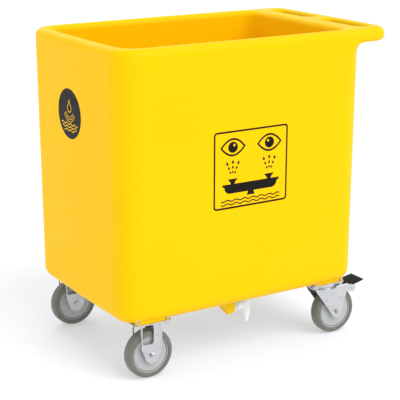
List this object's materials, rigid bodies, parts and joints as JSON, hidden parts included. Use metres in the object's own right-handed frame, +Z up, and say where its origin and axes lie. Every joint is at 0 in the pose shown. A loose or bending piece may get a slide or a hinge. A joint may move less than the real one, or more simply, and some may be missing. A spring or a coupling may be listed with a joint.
{
  "type": "wheeled waste water tub",
  "caption": "Open-topped moulded tub on casters with a slotted handle shelf, hollow walls, braked rear swivel casters and a bottom drain tap, for catching eyewash waste water.",
  "frame": {"origin": "on the floor, under the middle of the bounding box", "axes": "+X along the tub towards the handle shelf, +Y towards its right side as seen from the handle, +Z up"},
  "size_m": [0.8098, 0.515, 0.829],
  "materials": {
    "yellow_polyethylene": "moulded satin",
    "sign_film": "printed film",
    "badge_film": "printed film",
    "brass": "machined",
    "zinc_hardware": "zinc plated",
    "zinc_steel": "zinc plated pressed",
    "ball_steel": "polished",
    "white_polypropylene": "moulded",
    "black_rubber": "moulded",
    "grey_tyre": "moulded smooth",
    "grey_wheel_core": "moulded",
    "acetal": "moulded",
    "black_nylon": "moulded fine texture"
  },
  "bodies": {
    "root": {"tub": "yellow_polyethylene", "eyewash_sign": "sign_film", "round_badge": "badge_film", "threaded_inserts": "brass", "caster_washers": "zinc_hardware", "caster_bolts": "zinc_hardware", "drain_fitting": "white_polypropylene", "drain_gasket": "black_rubber", "drain_tap_body": "white_polypropylene", "drain_tap_cap": "white_polypropylene", "front_left_fork": "zinc_steel", "front_left_axle_sleeve": "zinc_hardware", "front_left_axle_bolt": "zinc_hardware", "front_left_axle_nut": "zinc_hardware", "rear_left_swivel_plate": "zinc_steel", "rear_left_kingpin": "zinc_hardware", "rear_left_kingpin_nut": "zinc_hardware", "front_right_fork": "zinc_steel", "front_right_axle_sleeve": "zinc_hardware", "front_right_axle_bolt": "zinc_hardware", "front_right_axle_nut": "zinc_hardware", "rear_right_swivel_plate": "zinc_steel", "rear_right_kingpin": "zinc_hardware", "rear_right_kingpin_nut": "zinc_hardware"},
    "tap_plug": {"drain_tap_plug": "white_polypropylene", "drain_tap_seals": "black_rubber", "drain_tap_handle": "white_polypropylene"},
    "front_left_wheel": {"front_left_wheel_core": "grey_wheel_core", "front_left_tyre": "grey_tyre", "front_left_wheel_bushes": "acetal"},
    "rear_left_swivel": {"rear_left_yoke": "zinc_steel", "rear_left_swivel_balls": "ball_steel", "rear_left_axle_sleeve": "zinc_hardware", "rear_left_axle_bolt": "zinc_hardware", "rear_left_axle_nut": "zinc_hardware", "rear_left_pedal_pin": "zinc_hardware"},
    "rear_left_wheel": {"rear_left_wheel_core": "grey_wheel_core", "rear_left_tyre": "grey_tyre", "rear_left_wheel_bushes": "acetal"},
    "rear_left_pedal": {"rear_left_brake_pedal": "black_nylon", "rear_left_brake_shoe": "black_rubber"},
    "front_right_wheel": {"front_right_wheel_core": "grey_wheel_core", "front_right_tyre": "grey_tyre", "front_right_wheel_bushes": "acetal"},
    "rear_right_swivel": {"rear_right_yoke": "zinc_steel", "rear_right_swivel_balls": "ball_steel", "rear_right_axle_sleeve": "zinc_hardware", "rear_right_axle_bolt": "zinc_hardware", "rear_right_axle_nut": "zinc_hardware", "rear_right_pedal_pin": "zinc_hardware"},
    "rear_right_wheel": {"rear_right_wheel_core": "grey_wheel_core", "rear_right_tyre": "grey_tyre", "rear_right_wheel_bushes": "acetal"},
    "rear_right_pedal": {"rear_right_brake_pedal": "black_nylon", "rear_right_brake_shoe": "black_rubber"}
  },
  "joints": [
    {"name": "front_left_wheel_spin", "type": "hinge", "parent": "root", "child": "front_left_wheel", "pos_m": [-0.316, -0.212, 0.0635], "axis": [0, 1, 0], "continuous": true},
    {"name": "rear_left_swivel_turn", "type": "hinge", "parent": "root", "child": "rear_left_swivel", "pos_m": [0.225, -0.212, 0.1415], "axis": [0, 0, 1], "continuous": true},
    {"name": "rear_left_wheel_spin", "type": "hinge", "parent": "rear_left_swivel", "child": "rear_left_wheel", "pos_m": [0.26, -0.212, 0.0635], "axis": [0, 1, 0], "continuous": true},
    {"name": "rear_left_brake_press", "type": "hinge", "parent": "rear_left_swivel", "child": "rear_left_pedal", "pos_m": [0.311, -0.212, 0.121], "axis": [0, 1, 0], "range_deg": [0, 15]},
    {"name": "front_right_wheel_spin", "type": "hinge", "parent": "root", "child": "front_right_wheel", "pos_m": [-0.316, 0.212, 0.0635], "axis": [0, 1, 0], "continuous": true},
    {"name": "rear_right_swivel_turn", "type": "hinge", "parent": "root", "child": "rear_right_swivel", "pos_m": [0.225, 0.212, 0.1415], "axis": [0, 0, 1], "continuous": true},
    {"name": "rear_right_wheel_spin", "type": "hinge", "parent": "rear_right_swivel", "child": "rear_right_wheel", "pos_m": [0.26, 0.212, 0.0635], "axis": [0, 1, 0], "continuous": true},
    {"name": "rear_right_brake_press", "type": "hinge", "parent": "rear_right_swivel", "child": "rear_right_pedal", "pos_m": [0.311, 0.212, 0.121], "axis": [0, 1, 0], "range_deg": [0, 15]},
    {"name": "drain_tap_turn", "type": "hinge", "parent": "root", "child": "tap_plug", "pos_m": [0.005, -0.17, 0.118], "axis": [0, 0, -1], "range_deg": [0, 90]}
  ]
}
